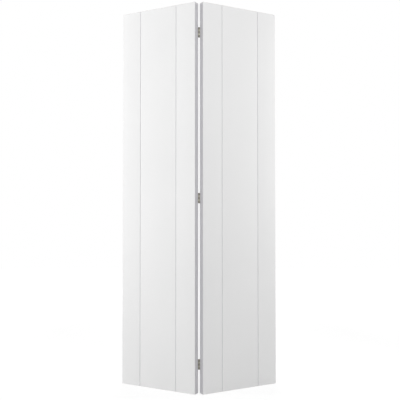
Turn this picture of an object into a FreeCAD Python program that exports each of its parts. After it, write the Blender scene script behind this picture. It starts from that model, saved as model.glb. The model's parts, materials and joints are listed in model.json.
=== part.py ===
import FreeCAD, Part

# Two-leaf bifold closet door: two hollow-core slab leaves joined by three surface-mounted hinges.
#
# Millimetres and degrees, +Z up, front towards -Y. The origin is the middle of the footprint, on the floor.
# The door stands half folded, with its hinge line forward: each leaf is turned by leaf_angle from the flat,
# closed door. Every piece is drawn in a frame whose Z axis is the hinge pin's axis, and its Placement then
# turns it with its leaf. In that frame the leaf's back face lies one knuckle radius in front of the axis,
# and the leaf runs outwards from it, towards -X (left leaf) or +X (right leaf).

import math
import os

import Sketcher

V = FreeCAD.Vector

# ------------------------------------------------------------------------------ driving dimensions
SIZES = {
    # the leaves
    "leaf_angle": 28.6,
    "door_height": 2007,
    "leaf_width": 451,
    "leaf_thickness": 35,
    "edge_gap": 4,                # between the leaves' hinge-side edges when the door is flat
    # faces
    "skin_thickness": 4,
    "outer_arris": 3,             # rounding of the vertical edges away from the hinges
    "hinge_arris": 0.5,           # rounding of the vertical edges beside the hinges
    "inner_groove_inset": 113,    # from the hinge-side edge to the middle of the inner groove
    "outer_groove_inset": 116,    # from the outer edge to the middle of the outer groove
    "groove_width": 3.4,          # at the face
    "groove_floor": 2.8,          # width at the bottom
    "groove_depth": 2.8,
    # frame inside the skins
    "stile_width": 38,
    "top_rail_height": 60,
    "bottom_rail_height": 90,
    # paper honeycomb
    "core_cell": 50,              # across the flats of one cell, before it is stretched to fit the frame
    "core_wall": 1,
    "core_clearance": 0.5,        # to the stiles and rails
    # bores for the pivots and the guide
    "pivot_radius": 4.7625,
    "pivot_depth": 38,
    "pivot_setback": 20,          # from the outer edge of the leaf
    # hinges
    "top_hinge_inset": 149,       # from the leaf's top end down to the middle of the top hinge
    "hinge_drop": 6,              # from the leaf's middle down to the middle hinge
    "bottom_hinge_inset": 145,    # from the leaf's bottom end up to the middle of the bottom hinge
    "hinge_height": 50.8,
    "plate_width": 28,            # from the pin's axis to the plate's outer edge
    "plate_thickness": 1.8,
    "plate_corner": 5,
    "notch_clearance": 0.6,       # between a plate's notch and the other plate's knuckle
    "knuckle_gap": 0.3,           # between neighbouring knuckles, along the pin
    "curl_gap": 0.2,              # between a rolled knuckle's end and its plate
    "pin_radius": 2.64,
    "pin_clearance": 0.06,        # radial, between the pin and the knuckles
    "pin_head_radius": 3.7,
    "pin_head_height": 1.5,
    "pin_head_bevel": 0.5,
    # screws
    "screw_far": 21.5,            # from the pin's axis to the two outer screws
    "screw_near": 13,             # from the pin's axis to the inner screw
    "screw_spread": 18,           # from the plate's middle to an outer screw, along the pin
    "screw_length": 19,
    "screw_head_radius": 3.4,
    "screw_shank_radius": 1.6,
    "screw_point": 3,
    "screw_clearance": 0.05,      # around the head in the plate and around the shank in its hole
    "screw_tip_clearance": 1,
    "recess_span": 3.8,
    "recess_width": 0.9,
    "recess_depth": 1,
}

KNUCKLE_COUNT = 5
SIDES = {"left": -1, "right": 1}
OWN_KNUCKLES = {"left": range(0, KNUCKLE_COUNT, 2), "right": range(1, KNUCKLE_COUNT, 2)}
GLUED_SHARE = 2 / 3               # of a honeycomb row: the length over which two ribbons are glued
DRAFT_RADIUS = 10                 # where a sketch's points start, before their dimensions move them
PARALLEL = 1e-6                   # sine of the largest angle between edges that count as parallel
LEAST_CUT = 1e-3                  # a cut that removes less than this volume has missed the solid

document = FreeCAD.newDocument("BifoldDoor")
sheet = document.addObject("Spreadsheet::Sheet", "Sizes")
for row, (alias, value) in enumerate(SIZES.items(), start=1):
    sheet.set(f"A{row}", alias)
    sheet.set(f"B{row}", str(value))
    sheet.setAlias(f"B{row}", alias)
document.recompute()

# ------------------------------------------------------------- places worked out from the dimensions
BORE_RADIUS = "(Sizes.pin_radius + Sizes.pin_clearance)"
KNUCKLE_RADIUS = "(Sizes.pin_radius + Sizes.pin_clearance + Sizes.plate_thickness)"
KNUCKLE_PITCH = f"(Sizes.hinge_height / {KNUCKLE_COUNT})"
PLATE_CUTBACK = f"({KNUCKLE_RADIUS} + Sizes.notch_clearance)"
BACK_FACE = f"(-1 * {KNUCKLE_RADIUS})"
PLATE_FACE = f"(-1 * {BORE_RADIUS})"
INNER_FACE = "Sizes.leaf_thickness - Sizes.skin_thickness"
TOP_RAIL_BOTTOM = "(Sizes.door_height - Sizes.top_rail_height)"
SHANK_HOLE_RADIUS = "(Sizes.screw_shank_radius + Sizes.screw_clearance)"

# The front corner beside the hinges and the back corner at the outer edge bound the folded door in Y.
FRONT_REACH = (
    "((Sizes.edge_gap / 2 + Sizes.hinge_arris) * sin(Sizes.leaf_angle)"
    f" - ({KNUCKLE_RADIUS} + Sizes.leaf_thickness - Sizes.hinge_arris) * cos(Sizes.leaf_angle)"
    " - Sizes.hinge_arris)"
)
BACK_REACH = (
    "((Sizes.edge_gap / 2 + Sizes.leaf_width - Sizes.outer_arris) * sin(Sizes.leaf_angle)"
    f" - ({KNUCKLE_RADIUS} + Sizes.outer_arris) * cos(Sizes.leaf_angle)"
    " + Sizes.outer_arris)"
)
PIN_Y = f"-1 * ({FRONT_REACH} + {BACK_REACH}) / 2"

HINGE_HEIGHTS = {
    "top": "Sizes.door_height - Sizes.top_hinge_inset",
    "middle": "Sizes.door_height / 2 - Sizes.hinge_drop",
    "bottom": "Sizes.bottom_hinge_inset",
}
# Each screw's distance from the pin's axis and height above the plate's middle
SCREW_PLACES = (
    ("Sizes.screw_far", "Sizes.screw_spread"),
    ("Sizes.screw_near", "0"),
    ("Sizes.screw_far", "-1 * Sizes.screw_spread"),
)


def across(side, distance):
    """Place across a leaf, a distance outwards from its hinge-side edge."""
    return f"{side} * (Sizes.edge_gap / 2 + {distance})"


def deep(distance):
    """Place through a leaf, a distance forwards from its back face."""
    return f"-1 * ({KNUCKLE_RADIUS} + {distance})"


def rectangle(x_places, y_places):
    """Corners of a rectangle between two places each way."""
    (x0, x1), (y0, y1) = x_places, y_places
    return [(x0, y0), (x1, y0), (x1, y1), (x0, y1)]


# ----------------------------------------------------------------------------- bodies and sketches
subparts = []


def place(subpart, side, height="0"):
    """Turn a sub-part with its leaf about the pin's axis, and lift it to its height."""
    subpart.Placement = FreeCAD.Placement(V(0, 0, 0), FreeCAD.Rotation(V(0, 0, 1), side))
    subpart.setExpression("Placement.Rotation.Angle", f"{side} * Sizes.leaf_angle")
    subpart.setExpression("Placement.Base.y", PIN_Y)
    subpart.setExpression("Placement.Base.z", height)


def new_body(label, side, height="0"):
    """A body for one sub-part, which turns with the leaf on its side."""
    body = document.addObject("PartDesign::Body", label)
    body.Label = label
    place(body, side, height)
    subparts.append(body)
    return body


def new_sketch(body, name, role, shift=()):
    """A sketch on one of the body's origin planes, shifted in its own axes by (axis, expression) pairs."""
    planes = body.Origin.OriginFeatures
    sketch = body.newObject("Sketcher::SketchObject", name)
    sketch.AttachmentSupport = (next(plane for plane in planes if plane.Role == role), "")
    sketch.MapMode = "FlatFace"
    for axis, expression in shift:
        sketch.setExpression(f"AttachmentOffset.Base.{axis}", expression)
    return sketch


def dimension_point(sketch, geometry, point, start, corner):
    """Dimension a point, now at start, from the sketch's origin with a pair of expressions."""
    for kind, value, expression in zip(("DistanceX", "DistanceY"), (start.x, start.y), corner):
        index = sketch.addConstraint(Sketcher.Constraint(kind, -1, 1, geometry, point, value))
        sketch.setExpression(f"Constraints[{index}]", expression)


def draw_outline(sketch, corners):
    """Draw a closed outline of straight lines through corners, each a pair of expressions."""
    count = len(corners)
    first = sketch.GeometryCount
    turns = [2 * math.pi * (index + 0.5) / count for index in range(count)]
    starts = [V(DRAFT_RADIUS * math.cos(turn), DRAFT_RADIUS * math.sin(turn), 0) for turn in turns]
    for index in range(count):
        sketch.addGeometry(Part.LineSegment(starts[index - 1], starts[index]), False)
    for index in range(count):
        following = first + (index + 1) % count
        sketch.addConstraint(Sketcher.Constraint("Coincident", first + index, 2, following, 1))
        dimension_point(sketch, first + index, 2, starts[index], corners[index])


def draw_circle(sketch, centre, radius):
    """Draw a circle about a centre, with expressions for its place and radius."""
    start = V(DRAFT_RADIUS, DRAFT_RADIUS, 0)
    geometry = sketch.addGeometry(Part.Circle(start, V(0, 0, 1), 1), False)
    dimension_point(sketch, geometry, 3, start, centre)
    index = sketch.addConstraint(Sketcher.Constraint("Radius", geometry, 1))
    sketch.setExpression(f"Constraints[{index}]", radius)


# ---------------------------------------------------------------------------------------- features
def pad(body, name, sketch, length, symmetric=False):
    """Pad a sketch along its normal, or equally both ways from its plane."""
    feature = body.newObject("PartDesign::Pad", name)
    feature.Profile = sketch
    feature.setExpression("Length", length)
    if symmetric:
        feature.SideType = "Symmetric"
    return feature


def pocket(body, name, sketch, length, along_normal=True):
    """Cut a sketch into the body, along its plane's normal or against it."""
    feature = body.newObject("PartDesign::Pocket", name)
    feature.Profile = sketch
    feature.setExpression("Length", length)
    feature.Reversed = along_normal
    return feature


def cut_through(body, name, sketch, length):
    """Cut a sketch out of the body over a length, equally both ways from its plane."""
    feature = pocket(body, name, sketch, length)
    feature.SideType = "Symmetric"
    return feature


def furthest_edge(shape, along, towards):
    """Name of the straight edge parallel to along whose middle lies furthest towards a direction."""
    best_name = None
    best_reach = -math.inf
    for number, edge in enumerate(shape.Edges, start=1):
        start, end = edge.Vertexes[0].Point, edge.Vertexes[-1].Point
        is_straight = edge.Curve.TypeId == "Part::GeomLine"
        if is_straight and (end - start).cross(along).Length < PARALLEL * (end - start).Length:
            reach = ((start + end) / 2).dot(towards)
            if reach > best_reach:
                best_name = f"Edge{number}"
                best_reach = reach
    return best_name


def round_edges(body, name, base, along, directions, radius):
    """Round the base feature's outermost edges parallel to along, one towards each direction."""
    document.recompute()
    edges = [furthest_edge(base.Shape, along, towards) for towards in directions]
    feature = body.newObject("PartDesign::Fillet", name)
    feature.Base = (base, edges)
    feature.setExpression("Radius", radius)
    return feature


# ------------------------------------------------------------------------------------ the two leaves
def leaf_piece(leaf, piece, x_places, y_places, bottom, height):
    """A straight piece of a leaf: a rectangle in plan, padded up from its bottom."""
    side = SIDES[leaf]
    body = new_body(f"{leaf}_{piece}", side)
    plan = new_sketch(body, "plan", "XY_Plane", [("z", bottom)])
    draw_outline(plan, rectangle(x_places, y_places))
    return body, pad(body, "blank", plan, height)


def add_hinge_screw_holes(body, side, start_depth, length):
    """Bore a hole for every hinge screw, from start_depth behind the back face towards the front."""
    plane_depth = f"{KNUCKLE_RADIUS} + {start_depth}"
    holes = new_sketch(body, "screw_hole_plan", "XZ_Plane", [("z", plane_depth)])
    for height in HINGE_HEIGHTS.values():
        for distance, rise in SCREW_PLACES:
            draw_circle(holes, (f"{side} * {distance}", f"{height} + {rise}"), SHANK_HOLE_RADIUS)
    pocket(body, "screw_holes", holes, length)


def build_skin(leaf, face):
    """A grooved face sheet with rounded vertical edges. The back one is bored for the hinge screws."""
    side = SIDES[leaf]
    if face == "front":
        outside, groove_bottom = "Sizes.leaf_thickness", "Sizes.leaf_thickness - Sizes.groove_depth"
        inside, outwards = INNER_FACE, -1
    else:
        outside, groove_bottom = "0", "Sizes.groove_depth"
        inside, outwards = "Sizes.skin_thickness", 1
    x_places = (across(side, "0"), across(side, "Sizes.leaf_width"))
    y_places = (deep(inside), deep(outside))
    body, blank = leaf_piece(leaf, f"{face}_skin", x_places, y_places, "0", "Sizes.door_height")

    grooves = {"inner": "Sizes.inner_groove_inset", "outer": "Sizes.leaf_width - Sizes.outer_groove_inset"}
    for name, middle in grooves.items():
        groove = new_sketch(body, f"{name}_groove_plan", "XY_Plane")
        draw_outline(groove, [
            (across(side, f"{middle} - Sizes.groove_width / 2"), deep(outside)),
            (across(side, f"{middle} - Sizes.groove_floor / 2"), deep(groove_bottom)),
            (across(side, f"{middle} + Sizes.groove_floor / 2"), deep(groove_bottom)),
            (across(side, f"{middle} + Sizes.groove_width / 2"), deep(outside)),
        ])
        blank = pocket(body, f"{name}_groove", groove, "Sizes.door_height")

    up = V(0, 0, 1)
    blank = round_edges(body, "outer_round", blank, up, [V(side, outwards, 0)], "Sizes.outer_arris")
    round_edges(body, "hinge_round", blank, up, [V(-side, outwards, 0)], "Sizes.hinge_arris")
    if face == "back":
        add_hinge_screw_holes(body, side, "0", "Sizes.skin_thickness")


def build_stiles(leaf):
    """The two upright frame pieces: one takes the hinge screws, the other the pivots and the guide."""
    side = SIDES[leaf]
    y_places = (deep("Sizes.skin_thickness"), deep(INNER_FACE))

    x_places = (across(side, "0"), across(side, "Sizes.stile_width"))
    body, _ = leaf_piece(leaf, "hinge_stile", x_places, y_places, "0", "Sizes.door_height")
    screw_reach = "Sizes.screw_length - Sizes.plate_thickness - Sizes.skin_thickness"
    add_hinge_screw_holes(body, side, "Sizes.skin_thickness", f"{screw_reach} + Sizes.screw_tip_clearance")

    x_places = (across(side, "Sizes.leaf_width - Sizes.stile_width"), across(side, "Sizes.leaf_width"))
    body, _ = leaf_piece(leaf, "outer_stile", x_places, y_places, "0", "Sizes.door_height")
    centre = (across(side, "Sizes.leaf_width - Sizes.pivot_setback"), deep("Sizes.leaf_thickness / 2"))
    for end, height, upwards in (("bottom", "0", True), ("top", "Sizes.door_height", False)):
        bore = new_sketch(body, f"{end}_bore_plan", "XY_Plane", [("z", height)])
        draw_circle(bore, centre, "Sizes.pivot_radius")
        pocket(body, f"{end}_bore", bore, "Sizes.pivot_depth", along_normal=upwards)


def build_rails(leaf):
    """The two cross pieces of the frame, between the stiles."""
    side = SIDES[leaf]
    x_places = (across(side, "Sizes.stile_width"), across(side, "Sizes.leaf_width - Sizes.stile_width"))
    y_places = (deep("Sizes.skin_thickness"), deep(INNER_FACE))
    leaf_piece(leaf, "bottom_rail", x_places, y_places, "0", "Sizes.bottom_rail_height")
    leaf_piece(leaf, "top_rail", x_places, y_places, TOP_RAIL_BOTTOM, "Sizes.top_rail_height")


# --------------------------------------------------------------------------------- honeycomb cores
def ribbon_outline(index, pitch, rows, row_pitch):
    """Outline of one upright paper ribbon. It steps to and fro across its pitch from row to row."""
    line = []
    for row in range(rows):
        x = index * pitch + (index + row) % 2 * (pitch - sheet.core_wall)
        line.append(V(x, 0, row * row_pitch))
        line.append(V(x, 0, (row + GLUED_SHARE) * row_pitch))
    return line + [point + V(sheet.core_wall, 0, 0) for point in reversed(line)]


def build_core(leaf):
    """The expanded honeycomb: paper ribbons glued to each other in turn, which fill the frame's opening."""
    side = SIDES[leaf]
    slack = sheet.core_clearance
    width = sheet.leaf_width - 2 * sheet.stile_width - 2 * slack
    height = sheet.door_height - sheet.top_rail_height - sheet.bottom_rail_height - 2 * slack
    ribbon_count = max(1, round(2 * width / sheet.core_cell))
    rows = max(1, round(height / (sheet.core_cell * math.cos(math.pi / 6))))
    row_pitch = height / (rows - 1 + GLUED_SHARE)
    thickness = sheet.leaf_thickness - 2 * sheet.skin_thickness
    knuckle_radius = sheet.pin_radius + sheet.pin_clearance + sheet.plate_thickness
    corner = V(sheet.edge_gap / 2 + sheet.stile_width + slack,
               -knuckle_radius - sheet.skin_thickness,
               sheet.bottom_rail_height + slack)
    ribbons = []
    for index in range(ribbon_count):
        outline = [point + corner for point in ribbon_outline(index, width / ribbon_count, rows, row_pitch)]
        outline = [V(side * point.x, point.y, point.z) for point in outline]
        face = Part.Face(Part.makePolygon(outline + outline[:1]))
        ribbons.append(face.extrude(V(0, -thickness, 0)))
    core = document.addObject("Part::Feature", f"{leaf}_honeycomb_core")
    core.Shape = Part.Compound(ribbons)
    place(core, side)
    subparts.append(core)


# ------------------------------------------------------------------------------------------ hinges
def knuckle_middle(index):
    """Height of a knuckle's middle above the hinge's middle."""
    return f"({index} - {(KNUCKLE_COUNT - 1) / 2}) * {KNUCKLE_PITCH}"


def build_plate(hinge, leaf):
    """A hinge plate: notched for the other plate's knuckles, with its own knuckles rolled from it."""
    side = SIDES[leaf]
    body = new_body(f"hinge_{hinge}_plate_{leaf}", side, HINGE_HEIGHTS[hinge])
    plan = new_sketch(body, "plate_plan", "XY_Plane")
    draw_outline(plan, rectangle(("0", f"{side} * Sizes.plate_width"), (BACK_FACE, PLATE_FACE)))
    plate = pad(body, "plate", plan, "Sizes.hinge_height", symmetric=True)
    corners = [V(side, 0, end) for end in (-1, 1)]
    round_edges(body, "corners", plate, V(0, 1, 0), corners, "Sizes.plate_corner")

    for index in range(KNUCKLE_COUNT):
        middle = knuckle_middle(index)
        if index in OWN_KNUCKLES[leaf]:
            circle = new_sketch(body, f"knuckle_{index}_plan", "XY_Plane", [("z", middle)])
            draw_circle(circle, ("0", "0"), KNUCKLE_RADIUS)
            pad(body, f"knuckle_{index}", circle, f"{KNUCKLE_PITCH} - Sizes.knuckle_gap", symmetric=True)
        else:
            half = f"({KNUCKLE_PITCH} + Sizes.knuckle_gap) / 2"
            x_places = (f"{-side} * {KNUCKLE_RADIUS}", f"{side} * {PLATE_CUTBACK}")
            z_places = (f"{middle} - {half}", f"{middle} + {half}")
            notch = new_sketch(body, f"notch_{index}_face", "XZ_Plane", [("z", BORE_RADIUS)])
            draw_outline(notch, rectangle(x_places, z_places))
            pocket(body, f"notch_{index}", notch, "Sizes.plate_thickness")

    bore = new_sketch(body, "bore_plan", "XY_Plane")
    draw_circle(bore, ("0", "0"), BORE_RADIUS)
    cut_through(body, "bore", bore, "2 * Sizes.hinge_height")
    curl = new_sketch(body, "curl_gap_plan", "XY_Plane")
    x_places = ("0", f"{side} * {KNUCKLE_RADIUS}")
    draw_outline(curl, rectangle(x_places, (PLATE_FACE, f"{PLATE_FACE} + Sizes.curl_gap")))
    cut_through(body, "curl_gap", curl, "2 * Sizes.hinge_height")
    add_countersinks(body, side)


def add_countersinks(body, side):
    """Countersunk screw holes, whose cones run through the whole thickness of the plate."""
    holes = new_sketch(body, "countersink_face", "XZ_Plane", [("z", BORE_RADIUS)])
    for distance, rise in SCREW_PLACES:
        draw_circle(holes, (f"{side} * {distance}", rise), SHANK_HOLE_RADIUS)
    document.recompute()
    feature = body.newObject("PartDesign::Hole", "countersinks")
    feature.Profile = holes
    feature.ThreadType = "None"
    feature.HoleCutType = "Countersink"
    feature.HoleCutCustomValues = True
    feature.DepthType = "ThroughAll"
    feature.Reversed = True
    feature.setExpression("Diameter", f"2 * {SHANK_HOLE_RADIUS}")
    feature.setExpression("HoleCutDiameter", "2 * (Sizes.screw_head_radius + Sizes.screw_clearance)")
    head_slope = "(Sizes.screw_head_radius - Sizes.screw_shank_radius) / Sizes.plate_thickness"
    feature.setExpression("HoleCutCountersinkAngle", f"2 * atan({head_slope})")


def build_pin(hinge):
    """The pin, with a bevelled head at each end, carried by the left plate's end knuckles."""
    body = new_body(f"hinge_{hinge}_pin", SIDES["left"], HINGE_HEIGHTS[hinge])
    half = "(Sizes.hinge_height - Sizes.knuckle_gap) / 2"
    end = f"({half} + Sizes.pin_head_height)"
    flat = "Sizes.pin_head_radius - Sizes.pin_head_bevel"
    profile = new_sketch(body, "profile", "XZ_Plane")
    draw_outline(profile, [
        ("0", f"-1 * {end}"),
        (flat, f"-1 * {end}"),
        ("Sizes.pin_head_radius", f"-1 * ({end} - Sizes.pin_head_bevel)"),
        ("Sizes.pin_head_radius", f"-1 * {half}"),
        ("Sizes.pin_radius", f"-1 * {half}"),
        ("Sizes.pin_radius", half),
        ("Sizes.pin_head_radius", half),
        ("Sizes.pin_head_radius", f"{end} - Sizes.pin_head_bevel"),
        (flat, end),
        ("0", end),
    ])
    turned = body.newObject("PartDesign::Revolution", "turned")
    turned.Profile = profile
    turned.ReferenceAxis = (profile, ["V_Axis"])


def cross_corners():
    """The twelve corners of a cross recess."""
    tip, root = "Sizes.recess_span / 2", "Sizes.recess_width / 2"
    corners = []
    for x_sign, y_sign in ((1, 1), (1, -1), (-1, -1), (-1, 1)):
        quarter = [(root, tip), (root, root), (tip, root)]
        if x_sign * y_sign < 0:
            quarter.reverse()
        corners += [(f"{x_sign} * {x}", f"{y_sign} * {y}") for x, y in quarter]
    return corners


def build_screws(hinge, leaf):
    """The three countersunk wood screws of one hinge plate, each a solid of its own."""
    side = SIDES[leaf]
    body = new_body(f"hinge_{hinge}_screws_{leaf}", side, HINGE_HEIGHTS[hinge])
    for index, (distance, rise) in enumerate(SCREW_PLACES):
        shift = [("x", f"{side} * {distance}"), ("y", PLATE_FACE), ("z", rise)]
        profile = new_sketch(body, f"screw_{index}_profile", "XY_Plane", shift)
        draw_outline(profile, [
            ("0", "0"),
            ("Sizes.screw_head_radius", "0"),
            ("Sizes.screw_shank_radius", "-1 * Sizes.plate_thickness"),
            ("Sizes.screw_shank_radius", "Sizes.screw_point - Sizes.screw_length"),
            ("0", "-1 * Sizes.screw_length"),
        ])
        turned = body.newObject("PartDesign::Revolution", f"screw_{index}")
        turned.Profile = profile
        turned.ReferenceAxis = (profile, ["V_Axis"])
        shift = [("x", f"{side} * {distance}"), ("y", rise), ("z", BORE_RADIUS)]
        recess = new_sketch(body, f"recess_{index}_face", "XZ_Plane", shift)
        draw_outline(recess, cross_corners())
        pocket(body, f"recess_{index}", recess, "Sizes.recess_depth")


# ------------------------------------------------------------------------------- build and export
def check_document():
    """Stop on any object that failed, any cut that removed nothing and any bad shape."""
    for item in document.Objects:
        if "Invalid" in item.State or "Error" in item.State:
            raise RuntimeError(f"{item.Label} in {item.getParentGeoFeatureGroup()} failed: {item.State}")
        if item.TypeId in ("PartDesign::Pocket", "PartDesign::Hole"):
            if item.Shape.Volume >= item.BaseFeature.Shape.Volume - LEAST_CUT:
                raise RuntimeError(f"{item.Label} cuts nothing")
    for subpart in subparts:
        if subpart.Shape.isNull() or not subpart.Shape.isValid() or not subpart.Shape.Solids:
            raise RuntimeError(f"{subpart.Label} has a bad shape")


for leaf_name in SIDES:
    build_skin(leaf_name, "front")
    build_skin(leaf_name, "back")
    build_stiles(leaf_name)
    build_rails(leaf_name)
    build_core(leaf_name)
for hinge_name in HINGE_HEIGHTS:
    build_plate(hinge_name, "left")
    build_plate(hinge_name, "right")
    build_pin(hinge_name)
    build_screws(hinge_name, "left")
    build_screws(hinge_name, "right")
document.recompute()
check_document()

os.makedirs("parts", exist_ok=True)
for subpart in subparts:
    subpart.Shape.exportStep(f"parts/{subpart.Label}.step")
    print(f"{subpart.Label}: {len(subpart.Shape.Solids)} solid(s), {subpart.Shape.Volume / 1000:.2f} cm3")
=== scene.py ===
import json
import math

import bmesh
import bpy
from mathutils import Matrix, Vector


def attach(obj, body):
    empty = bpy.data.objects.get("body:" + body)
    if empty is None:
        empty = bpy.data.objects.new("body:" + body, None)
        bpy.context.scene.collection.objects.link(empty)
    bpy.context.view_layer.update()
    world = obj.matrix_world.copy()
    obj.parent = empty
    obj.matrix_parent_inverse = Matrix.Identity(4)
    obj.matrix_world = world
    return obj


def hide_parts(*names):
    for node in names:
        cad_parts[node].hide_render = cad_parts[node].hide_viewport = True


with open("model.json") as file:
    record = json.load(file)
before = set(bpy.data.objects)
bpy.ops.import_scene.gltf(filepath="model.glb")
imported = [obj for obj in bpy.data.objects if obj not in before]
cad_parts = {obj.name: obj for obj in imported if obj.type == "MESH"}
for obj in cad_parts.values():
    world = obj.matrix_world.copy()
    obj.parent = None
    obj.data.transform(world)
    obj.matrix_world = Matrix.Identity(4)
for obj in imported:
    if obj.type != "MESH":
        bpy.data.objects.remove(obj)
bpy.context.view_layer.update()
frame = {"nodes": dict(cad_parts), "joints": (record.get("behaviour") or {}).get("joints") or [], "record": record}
cad_nodes = frame["nodes"]

# A white bifold closet door, half folded, in a white studio. Each leaf's skins, stiles and rails are
# drawn again with eased edges in place of their CAD nodes. The hinges and the cores are the CAD's own.

MM = 0.001
SIDES = {"left": -1, "right": 1}
HINGES = ("top", "middle", "bottom")

# ------------------------------------------------------------------------------- the leaves' own frames
fold_joint = frame["joints"][0]
PIN = Vector(fold_joint["pos_m"])
LEAF_ANGLE = -math.radians(fold_joint["range_deg"][0]) / 2  # from a leaf to the flat, closed door


def mirrored(side):
    """The matrix that turns a drawing with +X outwards from the pin to a leaf's own side."""
    return Matrix.Diagonal((side, 1, 1, 1))


def leaf_place(side):
    """The matrix that puts a mirrored drawing at the pin, with X along its leaf and -Y to the front."""
    return Matrix.Translation((PIN.x, PIN.y, 0)) @ Matrix.Rotation(side * LEAF_ANGLE, 4, "Z")


def leaf_frame(side):
    """The matrix from a leaf's own frame, with +X outwards from the pin, to the door's frame."""
    return leaf_place(side) @ mirrored(side)


def leaf_points(node, side):
    """The vertices of a CAD node in its leaf's own frame."""
    to_leaf = leaf_frame(side).inverted()
    return [to_leaf @ vertex.co for vertex in cad_nodes[node].data.vertices]


def leaf_box(node, side):
    """Lowest and highest corners of a CAD node in its leaf's own frame."""
    points = leaf_points(node, side)
    low = Vector([min(point[axis] for point in points) for axis in range(3)])
    high = Vector([max(point[axis] for point in points) for axis in range(3)])
    return low, high


# ------------------------------------------------------------------------------------ material helpers
NOISE_LOW, NOISE_HIGH = 0.3, 0.7  # most of a noise's values lie between these
BEVEL_SAMPLES = 6


def new_material(name):
    """A node material, with its tree, its Principled shader and its object coordinates."""
    material = bpy.data.materials.new(name)
    material.use_nodes = True
    tree = material.node_tree
    shader = tree.nodes["Principled BSDF"]
    coordinates = tree.nodes.new("ShaderNodeTexCoord").outputs["Object"]
    return material, tree, shader, coordinates


def toned(colour, share):
    """A colour made darker or lighter, to a share of itself."""
    return tuple(channel * share for channel in colour)


def stretched(tree, coordinates, scale, place=(0, 0, 0)):
    """Coordinates multiplied by a scale for each axis, then moved to a place."""
    mapping = tree.nodes.new("ShaderNodeMapping")
    mapping.inputs["Scale"].default_value = scale
    mapping.inputs["Location"].default_value = place
    tree.links.new(coordinates, mapping.inputs["Vector"])
    return mapping.outputs["Vector"]


def along_leaf(tree, coordinates, side):
    """Object coordinates, which are the door's, turned so that X runs along a leaf from its pin."""
    mapping = tree.nodes.new("ShaderNodeMapping")
    mapping.vector_type = "TEXTURE"
    mapping.inputs["Location"].default_value = (PIN.x, PIN.y, 0)
    mapping.inputs["Rotation"].default_value = (0, 0, side * LEAF_ANGLE)
    tree.links.new(coordinates, mapping.inputs["Vector"])
    return mapping.outputs["Vector"]


def noise(tree, vector, scale, detail, roughness=0.5):
    """A noise texture's value."""
    texture = tree.nodes.new("ShaderNodeTexNoise")
    texture.inputs["Scale"].default_value = scale
    texture.inputs["Detail"].default_value = detail
    texture.inputs["Roughness"].default_value = roughness
    tree.links.new(vector, texture.inputs["Vector"])
    return texture.outputs["Fac"]


def ramp(tree, value, stops):
    """Colours, or greys, at stops along a value from 0 to 1."""
    node = tree.nodes.new("ShaderNodeValToRGB")
    elements = node.color_ramp.elements
    while len(elements) < len(stops):
        elements.new(1.0)
    for element, (place, colour) in zip(elements, stops):
        element.position = place
        element.color = (*colour, 1) if isinstance(colour, tuple) else (colour, colour, colour, 1)
    tree.links.new(value, node.inputs["Fac"])
    return node.outputs["Color"]


def spread(tree, value, low, high):
    """A noise's value turned into a colour, or a grey, from low to high."""
    return ramp(tree, value, [(NOISE_LOW, low), (NOISE_HIGH, high)])


def mixed(tree, factor, first, second, blend="MIX"):
    """Mix two colours, each a socket or a tuple, by a factor that is a socket or a number."""
    node = tree.nodes.new("ShaderNodeMix")
    node.data_type = "RGBA"
    node.blend_type = blend
    for value, name in ((factor, "Factor"), (first, "A"), (second, "B")):
        # the node has sockets of these names for every data type, and enables those in use
        socket = next(s for s in node.inputs if s.name == name and s.enabled)
        if isinstance(value, tuple):
            socket.default_value = (*value, 1)
        elif isinstance(value, float):
            socket.default_value = value
        else:
            tree.links.new(value, socket)
    return next(s for s in node.outputs if s.enabled)


def soft_corners(tree, radius):
    """A normal that shades sharp corners as if they were rounded to a radius in metres."""
    node = tree.nodes.new("ShaderNodeBevel")
    node.samples = BEVEL_SAMPLES
    node.inputs["Radius"].default_value = radius
    return node.outputs["Normal"]


def bumped(tree, shader, layers, normal=None):
    """Stack bump layers of (height value, strength, distance in metres) onto a shader's normal."""
    for height, strength, distance in layers:
        node = tree.nodes.new("ShaderNodeBump")
        node.inputs["Strength"].default_value = strength
        node.inputs["Distance"].default_value = distance
        tree.links.new(height, node.inputs["Height"])
        if normal is not None:
            tree.links.new(normal, node.inputs["Normal"])
        normal = node.outputs["Normal"]
    tree.links.new(normal, shader.inputs["Normal"])


# ------------------------------------------------------------------------------------------- materials
WHITE = (1.0, 1.0, 1.0)
PAINT = (0.85, 0.85, 0.85)
# A greyer, cooler white for the leaves' edges and the sides of their grooves, darker than the faces' paint as
# painted shade of the narrow notch between the leaves and of the grooves
EDGE_PAINT_WITH_SHADE = (0.697, 0.693, 0.717)
BOARD_DARK, BOARD_LIGHT = (0.27, 0.18, 0.105), (0.40, 0.29, 0.18)
EARLY_WOOD_DARK, EARLY_WOOD_LIGHT = (0.66, 0.48, 0.28), (0.73, 0.56, 0.36)
LATE_WOOD = (0.50, 0.31, 0.15)
FIBRE_SHADE = (0.84, 0.82, 0.78)
KRAFT_DARK, KRAFT_LIGHT = (0.40, 0.28, 0.16), (0.52, 0.38, 0.23)
# The left plates' nickel is a darker copy of the right plates': painted shade that makes the hinge knuckles
# alternate dark and light
NICKEL_LIT_AND_SHADED = {"left": (0.225, 0.218, 0.18), "right": (0.41, 0.395, 0.317), "screw": (0.41, 0.395, 0.33)}

# Each wood: the form of its growth rings, their scale and place, and the scale of its fibres
WOODS = {
    "sawn_stile_wood": ("BANDS", (20, 110, 4), (0, 0, 0), (700, 700, 25)),
    "stile_end_grain": ("RINGS", (110, 110, 4), (-2.5, -3.5, 0), (1500, 1500, 1500)),
    "sawn_rail_wood": ("BANDS", (4, 110, 30), (0, 0, 0), (30, 900, 900)),
}


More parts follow.
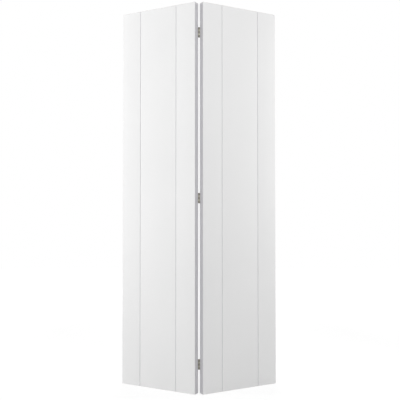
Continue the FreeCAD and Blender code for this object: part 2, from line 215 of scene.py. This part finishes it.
def paint_material(name, tone):
    """Sprayed satin paint on pressed board: a fine orange peel and barely uneven gloss."""
    material, tree, shader, coordinates = new_material(name)
    cloud = noise(tree, coordinates, scale=2.3, detail=2.0)
    tree.links.new(spread(tree, cloud, toned(tone, 0.99), toned(tone, 1.01)), shader.inputs["Base Color"])
    gloss = noise(tree, coordinates, scale=14.0, detail=4.0)
    tree.links.new(spread(tree, gloss, 0.42, 0.5), shader.inputs["Roughness"])
    peel = noise(tree, coordinates, scale=520.0, detail=2.0)
    waves = noise(tree, stretched(tree, coordinates, (1, 1, 0.25)), scale=45.0, detail=2.0)
    bumped(tree, shader, [(peel, 0.12, 0.03 * MM), (waves, 0.1, 0.05 * MM)])
    return material


def oversprayed(tree, coordinates, raw, scale, roughness, stops):
    """A raw surface's colour with blots of white overspray, as thick as the stops say for their noise."""
    blots = noise(tree, coordinates, scale, detail=6.0, roughness=roughness)
    return mixed(tree, ramp(tree, blots, stops), raw, PAINT)


def board_edge_material():
    """The raw cut edge of pressed board at a leaf's ends, with some white overspray."""
    material, tree, shader, coordinates = new_material("raw_board_edge")
    fibres = noise(tree, coordinates, scale=900.0, detail=5.0, roughness=0.7)
    brown = spread(tree, fibres, BOARD_DARK, BOARD_LIGHT)
    sprayed = oversprayed(tree, coordinates, brown, scale=160.0, roughness=0.75,
                          stops=[(0.5, 0.0), (0.7, 0.6)])
    tree.links.new(sprayed, shader.inputs["Base Color"])
    shader.inputs["Roughness"].default_value = 0.85
    bumped(tree, shader, [(fibres, 0.5, 0.2 * MM)])
    return material


def wood_material(name, leaf, rings_type, ring_scale, ring_place, fibre_scale):
    """Sawn pine: growth rings as straight bands or as arcs, with fibres drawn out along the grain."""
    material, tree, shader, coordinates = new_material(f"{name}_{leaf}")
    coordinates = along_leaf(tree, coordinates, SIDES[leaf])
    rings = tree.nodes.new("ShaderNodeTexWave")
    rings.wave_type = rings_type
    rings.bands_direction = "Y"
    rings.rings_direction = "Z"
    rings.wave_profile = "SAW"
    for setting, value in (("Scale", 1.0), ("Distortion", 3.0), ("Detail", 3.0), ("Detail Scale", 0.8)):
        rings.inputs[setting].default_value = value
    tree.links.new(stretched(tree, coordinates, ring_scale, ring_place), rings.inputs["Vector"])
    late = ramp(tree, rings.outputs["Fac"], [(0.0, 0.0), (0.55, 0.1), (0.9, 1.0), (1.0, 0.5)])
    cloud = noise(tree, coordinates, scale=9.0, detail=2.0)
    tone = mixed(tree, late, spread(tree, cloud, EARLY_WOOD_DARK, EARLY_WOOD_LIGHT), LATE_WOOD)
    fibres = noise(tree, stretched(tree, coordinates, fibre_scale), scale=1.0, detail=4.0, roughness=0.6)
    streaks = ramp(tree, fibres, [(0.35, FIBRE_SHADE), (0.65, WHITE)])
    sawn = mixed(tree, 1.0, tone, streaks, "MULTIPLY")
    sprayed = oversprayed(tree, coordinates, sawn, scale=55.0, roughness=0.8,
                          stops=[(0.62, 0.0), (0.76, 0.5)])
    tree.links.new(sprayed, shader.inputs["Base Color"])
    shader.inputs["Roughness"].default_value = 0.8
    bumped(tree, shader, [(fibres, 0.4, 0.15 * MM), (late, 0.2, 0.1 * MM)])
    return material


def paper_material():
    """Brown kraft paper, finely mottled."""
    material, tree, shader, coordinates = new_material("kraft_paper")
    mottle = noise(tree, coordinates, scale=300.0, detail=5.0, roughness=0.65)
    tree.links.new(spread(tree, mottle, KRAFT_DARK, KRAFT_LIGHT), shader.inputs["Base Color"])
    shader.inputs["Roughness"].default_value = 0.9
    bumped(tree, shader, [(mottle, 0.3, 0.1 * MM)])
    return material


def nickel_material(name, tone):
    """Dull nickel plate: fine upright brushing over a slightly cloudy warm grey."""
    material, tree, shader, coordinates = new_material(name)
    brushing = noise(tree, stretched(tree, coordinates, (2600, 2600, 180)), scale=1.0, detail=3.0)
    cloud = noise(tree, coordinates, scale=180.0, detail=3.0)
    tree.links.new(spread(tree, cloud, toned(tone, 0.88), toned(tone, 1.1)), shader.inputs["Base Color"])
    shader.inputs["Metallic"].default_value = 1.0
    tree.links.new(spread(tree, brushing, 0.42, 0.58), shader.inputs["Roughness"])
    bumped(tree, shader, [(brushing, 0.15, 0.02 * MM)], soft_corners(tree, 0.3 * MM))
    return material


paint = paint_material("white_satin_paint", PAINT)
# the edges' paint, darkened with painted shade
edge_paint_with_shade = paint_material("edge_paint_with_shade", EDGE_PAINT_WITH_SHADE)
board_edge = board_edge_material()
wood = {(name, leaf): wood_material(name, leaf, *settings)
        for name, settings in WOODS.items() for leaf in SIDES}
kraft = paper_material()
nickel = {name: nickel_material(f"dull_nickel_{name}", tone) for name, tone in NICKEL_LIT_AND_SHADED.items()}


# ---------------------------------------------------------------------------------------- mesh helpers
FINE_ARC = math.radians(15)      # the turn of each step round a rounded corner that shows
COARSE_ARC = math.radians(45)    # and of one that is barely eased
STEP_SLACK = 0.01                # a share of a step that is only a rounding error gets no step of its own
LEAST_RADIUS = 0.05 * MM         # an inset corner stays this round, so that its arc never closes up
LATHE_STEPS = 48
CREASE = math.radians(35)        # an edge sharper than this isn't shaded smooth


def rounded_outline(corners, turn_per_step):
    """A closed outline with each corner (x, y, radius) replaced by an arc of that radius."""
    outline = []
    for index, (x, y, radius) in enumerate(corners):
        corner = Vector((x, y))
        to_last = (Vector(corners[index - 1][:2]) - corner).normalized()
        to_next = (Vector(corners[(index + 1) % len(corners)][:2]) - corner).normalized()
        bend = math.pi - to_last.angle(to_next)
        reach = radius * math.tan(bend / 2)
        middle = corner + (to_last + to_next).normalized() * radius / math.cos(bend / 2)
        start = corner + to_last * reach - middle
        end = corner + to_next * reach - middle
        sign = 1 if start.cross(end) > 0 else -1
        steps = max(1, math.ceil(bend / turn_per_step - STEP_SLACK))
        for step in range(steps + 1):
            outline.append(middle + Matrix.Rotation(sign * bend * step / steps, 2) @ start)
    return outline


def inset(corners, distance):
    """Corners (x, y, radius) drawn anticlockwise, moved so that each side lies a distance further in."""
    moved = []
    for index, (x, y, radius) in enumerate(corners):
        corner = Vector((x, y))
        arriving = (corner - Vector(corners[index - 1][:2])).normalized()
        leaving = (Vector(corners[(index + 1) % len(corners)][:2]) - corner).normalized()
        along = (arriving + leaving).normalized()
        corner += Vector((-along.y, along.x)) * distance / arriving.dot(along)
        is_outer = arriving.cross(leaving) > 0
        radius += -distance if is_outer else distance
        moved.append((corner.x, corner.y, max(radius, LEAST_RADIUS)))
    return moved


def join_rings(mesh, lower, upper):
    """Faces between two rings of as many vertices, or between a ring and a single vertex."""
    count = max(len(lower), len(upper))
    for index in range(count):
        following = (index + 1) % count
        if len(lower) == 1:
            corners = (lower[0], upper[following], upper[index])
        elif len(upper) == 1:
            corners = (lower[index], lower[following], upper[0])
        else:
            corners = (lower[index], lower[following], upper[following], upper[index])
        mesh.faces.new(corners)


def extruded(corners, bottom, top, chamfer, turn_per_step):
    """A mesh of rounded corners, drawn anticlockwise, pulled up from bottom to top with chamfered ends."""
    outline = rounded_outline(corners, turn_per_step)
    small = rounded_outline(inset(corners, chamfer), turn_per_step)
    levels = ((small, bottom), (outline, bottom + chamfer), (outline, top - chamfer), (small, top))
    mesh = bmesh.new()
    rings = [[mesh.verts.new((point.x, point.y, height)) for point in points] for points, height in levels]
    for lower, upper in zip(rings, rings[1:]):
        join_rings(mesh, lower, upper)
    mesh.faces.new(reversed(rings[0]))
    mesh.faces.new(rings[-1])
    return mesh


def lathe(profile):
    """A mesh of a profile of (radius, height) points turned about Z. Its ends lie on the axis."""
    mesh = bmesh.new()
    turns = [2 * math.pi * step / LATHE_STEPS for step in range(LATHE_STEPS)]
    rings = []
    for radius, height in profile:
        if radius == 0:
            rings.append([mesh.verts.new((0, 0, height))])
        else:
            rings.append([mesh.verts.new((radius * math.cos(turn), radius * math.sin(turn), height))
                          for turn in turns])
    for lower, upper in zip(rings, rings[1:]):
        join_rings(mesh, lower, upper)
    return mesh


def new_object(name, mesh, materials):
    """An object from a bmesh, smooth except along creases."""
    bmesh.ops.recalc_face_normals(mesh, faces=mesh.faces)
    data = bpy.data.meshes.new(name)
    mesh.to_mesh(data)
    mesh.free()
    for material in materials:
        data.materials.append(material)
    data.polygons.foreach_set("use_smooth", [True] * len(data.polygons))
    data.set_sharp_from_angle(angle=CREASE)
    piece = bpy.data.objects.new(name, data)
    bpy.context.scene.collection.objects.link(piece)
    return piece


def apply_modifiers(piece):
    """Replace a piece's mesh by what its modifiers make of it, and drop the modifiers."""
    bpy.context.view_layer.update()
    evaluated = piece.evaluated_get(bpy.context.evaluated_depsgraph_get())
    data = bpy.data.meshes.new_from_object(evaluated)
    piece.modifiers.clear()
    old = piece.data
    piece.data = data
    bpy.data.meshes.remove(old)


def cut_away(piece, cutters):
    """Cut each cutter out of a piece and delete the cutters."""
    for cutter in cutters:
        modifier = piece.modifiers.new("cut", "BOOLEAN")
        modifier.object = cutter
        modifier.operation = "DIFFERENCE"
        modifier.solver = "EXACT"
        modifier.use_self = False
    apply_modifiers(piece)
    for cutter in cutters:
        data = cutter.data
        bpy.data.objects.remove(cutter)
        bpy.data.meshes.remove(data)


def leaf_piece(name, mesh, materials, side):
    """An object from a bmesh drawn in the leaf's own frame, to be cut and painted before it is settled."""
    mesh.transform(mirrored(side))
    return new_object(name, mesh, materials)


def settle(piece, node, leaf):
    """Put a piece in its place in a leaf, where it stands for a CAD node."""
    piece.data.transform(leaf_place(SIDES[leaf]))
    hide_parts(node)
    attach(piece, f"{leaf}_leaf")


def dress(node, material):
    """Give a CAD node that is seen as it is its material."""
    materials = cad_nodes[node].data.materials
    materials.clear()
    materials.append(material)


# --------------------------------------------------------------------------------------------- leaves
OUTER_ARRIS = 3 * MM             # radii of a skin's corners: at the leaf's outer edge,
HINGE_ARRIS = 0.5 * MM           # at its hinge edge,
GROOVE_SHOULDER = 0.2 * MM       # where a groove starts
GROOVE_BOTTOM = 0.2 * MM         # and at its bottom
SMALL_ARRIS = 0.3 * MM           # radius of all other corners, and bevel of the frame pieces' ends
END_CHAMFER = 0.5 * MM           # bevel of a skin's ends
BORE_MOUTH = 0.6 * MM            # depth of the countersink at a bore's mouth
UNGROOVED = 20 * MM              # no groove lies as near as this to a leaf's edges
TOUCHING = 0.1 * MM              # a point nearer than this to a plane lies on it
MICROMETRE_DIGITS = 6            # metres rounded to this many digits: equal corners are counted once
FACING = 0.6                     # a face whose normal has more than this of a direction faces that way
PLAIN, EDGE, END = 0, 1, 2       # the places of a painted piece's materials


def points_across(polygon):
    """Whether a face points along the leaf's width, as its edges and the sides of its grooves do."""
    return abs(polygon.normal.x) > FACING


def paint_faces(piece, is_edge):
    """Give a piece's ends, the faces that is_edge picks and the rest their own materials."""
    for polygon in piece.data.polygons:
        if abs(polygon.normal.z) > FACING:
            polygon.material_index = END
        elif is_edge(polygon):
            polygon.material_index = EDGE
        else:
            polygon.material_index = PLAIN


def groove_lines(node, side):
    """The (x, y) corners of a skin's grooves in its leaf's frame, read from the skin's bottom end."""
    low, high = leaf_box(node, side)
    corners = {(round(point.x, MICROMETRE_DIGITS), round(point.y, MICROMETRE_DIGITS))
               for point in leaf_points(node, side)
               if low.x + UNGROOVED < point.x < high.x - UNGROOVED and point.z < low.z + TOUCHING}
    return sorted(corners)


def build_skin(leaf, face):
    """A face sheet: grooved, with rounded upright edges and raw ends."""
    side = SIDES[leaf]
    node = f"{leaf}_{face}_skin"
    low, high = leaf_box(node, side)
    outside, inside = (low.y, high.y) if face == "front" else (high.y, low.y)
    corners = [(low.x, inside, SMALL_ARRIS), (low.x, outside, HINGE_ARRIS)]
    for x, y in groove_lines(node, side):
        is_shoulder = abs(y - outside) < TOUCHING
        corners.append((x, y, GROOVE_SHOULDER if is_shoulder else GROOVE_BOTTOM))
    corners += [(high.x, outside, OUTER_ARRIS), (high.x, inside, SMALL_ARRIS)]
    if face == "back":
        corners.reverse()
    mesh = extruded(corners, low.z, high.z, END_CHAMFER, FINE_ARC)
    piece = leaf_piece(f"{node}_painted", mesh, [paint, edge_paint_with_shade, board_edge], side)
    # the skin's edges and the sides of its grooves take the darker edge paint: painted shade in the grooves and in
    # the notch between the leaves
    paint_faces(piece, points_across)
    settle(piece, node, leaf)


def squared_bar(node, side):
    """A mesh that fills a CAD node's box in its leaf, with its long edges and ends just eased."""
    low, high = leaf_box(node, side)
    corners = [(low.x, low.y, SMALL_ARRIS), (high.x, low.y, SMALL_ARRIS),
               (high.x, high.y, SMALL_ARRIS), (low.x, high.y, SMALL_ARRIS)]
    return extruded(corners, low.z, high.z, SMALL_ARRIS, COARSE_ARC)


def bore_cutter(mount, side):
    """What a mount's bore takes out of a stile: a deep cylinder with a small countersink at its mouth."""
    radius = mount["dims"]["r_mm"] * MM
    depth = mount["dims"]["length_mm"] * MM
    mesh = lathe([(0, -depth), (radius, -depth), (radius, -BORE_MOUTH),
                  (radius + 2 * BORE_MOUTH, BORE_MOUTH), (0, BORE_MOUTH)])
    place = leaf_frame(side).inverted() @ Vector(mount["pos_m"])
    mesh.transform(Matrix.Translation(place) @ Matrix.Diagonal((1, 1, mount["axis"][2], 1)))
    return leaf_piece(f"{mount['name']}_cutter", mesh, [], side)


def build_stile(leaf, kind):
    """An upright frame piece, painted on the leaf's edge and bored at both ends if it is the outer one."""
    side = SIDES[leaf]
    node = f"{leaf}_{kind}_stile"
    materials = [wood["sawn_stile_wood", leaf], edge_paint_with_shade, wood["stile_end_grain", leaf]]
    piece = leaf_piece(f"{node}_wood", squared_bar(node, side), materials, side)
    if kind == "outer":
        mounts = [mount for mount in frame["record"]["mounts"] if mount["name"].startswith(f"{leaf}_")]
        cut_away(piece, [bore_cutter(mount, side) for mount in mounts])
    low, high = leaf_box(node, side)
    edge = side * (high.x if kind == "outer" else low.x)
    # the edge face takes the darker edge paint, whose darkness is painted shade of the notch between the leaves
    paint_faces(piece, lambda polygon: points_across(polygon)
                and abs(polygon.center.x - edge) < SMALL_ARRIS)
    settle(piece, node, leaf)


def build_rail(leaf, end):
    """A cross piece of the frame, whose sawn edge shows at the leaf's end."""
    side = SIDES[leaf]
    node = f"{leaf}_{end}_rail"
    piece = leaf_piece(f"{node}_wood", squared_bar(node, side), [wood["sawn_rail_wood", leaf]], side)
    settle(piece, node, leaf)


for leaf in SIDES:
    for face in ("front", "back"):
        build_skin(leaf, face)
    for kind in ("hinge", "outer"):
        build_stile(leaf, kind)
    for end in ("top", "bottom"):
        build_rail(leaf, end)
    dress(f"{leaf}_honeycomb_core", kraft)

# --------------------------------------------------------------------------------------------- hinges
for hinge in HINGES:
    for leaf in SIDES:
        # the left plates and the pins take the darker nickel, which is painted shade
        dress(f"hinge_{hinge}_plate_{leaf}", nickel[leaf])
        dress(f"hinge_{hinge}_screws_{leaf}", nickel["screw"])
    dress(f"hinge_{hinge}_pin", nickel["left"])

# ---------------------------------------------------------------------------------------------- stage
FLOOR_SIZE = 14.0
FLOOR_TONE = 0.5
SHADOW_KEPT = 0.5                # the share of the floor's own light and shade that is seen
NEAR_GLOW, FAR_GLOW = 1.51, 1.8  # the glows that make up the rest of white near the door and far away
NEAR, FAR = 1.4, 2.9             # the distances from the floor's middle that they are for
FORE_AND_AFT = 0.5               # the share that a distance in front of the door or behind it counts
AMBIENT = 0.4                    # the world's strength as a light
SEEN_WHITE = 1.0                 # and as a backdrop


def is_seen(tree):
    """1 for rays that show a thing directly, by reflection or through glass, and 0 for rays of its light."""
    path = tree.nodes.new("ShaderNodeLightPath")
    seen = path.outputs["Is Camera Ray"]
    for name in ("Is Glossy Ray", "Is Transmission Ray"):
        larger = tree.nodes.new("ShaderNodeMath")
        larger.operation = "MAXIMUM"
        tree.links.new(seen, larger.inputs[0])
        tree.links.new(path.outputs[name], larger.inputs[1])
        seen = larger.outputs[0]
    return seen


def mixed_shaders(tree, factor, first, second):
    """Mix two shaders by a factor that is a socket or a number."""
    mix = tree.nodes.new("ShaderNodeMixShader")
    if isinstance(factor, float):
        mix.inputs[0].default_value = factor
    else:
        tree.links.new(factor, mix.inputs[0])
    tree.links.new(first, mix.inputs[1])
    tree.links.new(second, mix.inputs[2])
    return mix.outputs[0]


def floor_material():
    """A pale floor that is seen as white, with the door's soft shadow on it."""
    material, tree, shader, coordinates = new_material("pale_floor")
    shader.inputs["Base Color"].default_value = (FLOOR_TONE, FLOOR_TONE, FLOOR_TONE, 1)
    shader.inputs["Roughness"].default_value = 0.9
    away = tree.nodes.new("ShaderNodeVectorMath")
    away.operation = "LENGTH"
    tree.links.new(stretched(tree, coordinates, (1, FORE_AND_AFT, 1)), away.inputs[0])
    strength = tree.nodes.new("ShaderNodeMapRange")
    for name, value in (("From Min", NEAR), ("From Max", FAR), ("To Min", NEAR_GLOW), ("To Max", FAR_GLOW)):
        strength.inputs[name].default_value = value
    tree.links.new(away.outputs["Value"], strength.inputs["Value"])
    glow = tree.nodes.new("ShaderNodeEmission")
    tree.links.new(strength.outputs["Result"], glow.inputs["Strength"])
    white = mixed_shaders(tree, SHADOW_KEPT, glow.outputs[0], shader.outputs[0])
    surface = mixed_shaders(tree, is_seen(tree), shader.outputs[0], white)
    tree.links.new(surface, tree.nodes["Material Output"].inputs["Surface"])
    return material


floor_mesh = bmesh.new()
bmesh.ops.create_grid(floor_mesh, x_segments=1, y_segments=1, size=FLOOR_SIZE / 2)
floor = new_object("floor", floor_mesh, [floor_material()])


def set_world():
    """Even soft ambient light from a world that is seen as white."""
    world = bpy.data.worlds.new("studio")
    bpy.context.scene.world = world
    world.use_nodes = True
    tree = world.node_tree
    tree.nodes.clear()
    shaders = []
    for strength in (AMBIENT, SEEN_WHITE):
        node = tree.nodes.new("ShaderNodeBackground")
        node.inputs["Color"].default_value = (*WHITE, 1)
        node.inputs["Strength"].default_value = strength
        shaders.append(node.outputs[0])
    output = tree.nodes.new("ShaderNodeOutputWorld")
    tree.links.new(mixed_shaders(tree, is_seen(tree), *shaders), output.inputs["Surface"])


set_world()

# Each lamp: name, place, aim, width and height in metres, watts
LAMPS = (
    ("front_right", (1.9, -3.6, 3.4), (0, 0, 1.4), 1.4, 1.2, 57.6),
    ("front_left", (-1.9, -3.6, 1.3), (0, 0, 1.1), 1.2, 1.2, 32.4),
    ("top_left", (-1.4, -3.0, 4.2), (0, 0, 1.4), 1.4, 1.2, 10.0),
    ("left_wall", (-2.6, -0.12, 1.65), (0, -0.12, 1.65), 0.4, 2.9, 29.5),
    ("right_strip", (1.6, 0.2, 1.4), (0, 0, 1.2), 0.5, 1.8, 9.7),
    ("back_softbox", (0, 4.2, 2.6), (0, 0, 1.1), 2.4, 1.6, 75.0),
)


def add_lamp(name, place, aim, width, height, watts):
    """A rectangular softbox that points from its place at its aim."""
    lamp = bpy.data.lights.new(name, "AREA")
    lamp.shape = "RECTANGLE"
    lamp.size = width
    lamp.size_y = height
    lamp.energy = watts
    holder = bpy.data.objects.new(name, lamp)
    holder.location = place
    holder.visible_camera = False
    holder.rotation_euler = (Vector(aim) - Vector(place)).to_track_quat("-Z", "Y").to_euler()
    bpy.context.scene.collection.objects.link(holder)


for settings in LAMPS:
    add_lamp(*settings)

# --------------------------------------------------------------------------------------------- camera
FRAME_WIDTH_PX = 400
FOCAL_LENGTH_PX = 624.7
SENSOR_WIDTH_MM = 36
CAMERA_AHEAD_OF_PIN = 3.2213
CAMERA_ASIDE = 0.0052            # to the right of the middle
CAMERA_HEIGHT = 0.916
CAMERA_TILT = math.radians(1.28)  # upwards

camera = bpy.data.objects.new("camera", bpy.data.cameras.new("camera"))
camera.data.sensor_width = SENSOR_WIDTH_MM
camera.data.lens = FOCAL_LENGTH_PX / FRAME_WIDTH_PX * SENSOR_WIDTH_MM
camera.location = (CAMERA_ASIDE, PIN.y - CAMERA_AHEAD_OF_PIN, CAMERA_HEIGHT)
camera.rotation_euler = (math.pi / 2 + CAMERA_TILT, 0, 0)
bpy.context.scene.collection.objects.link(camera)
bpy.context.scene.camera = camera

bpy.context.scene.view_settings.view_transform = "Standard"
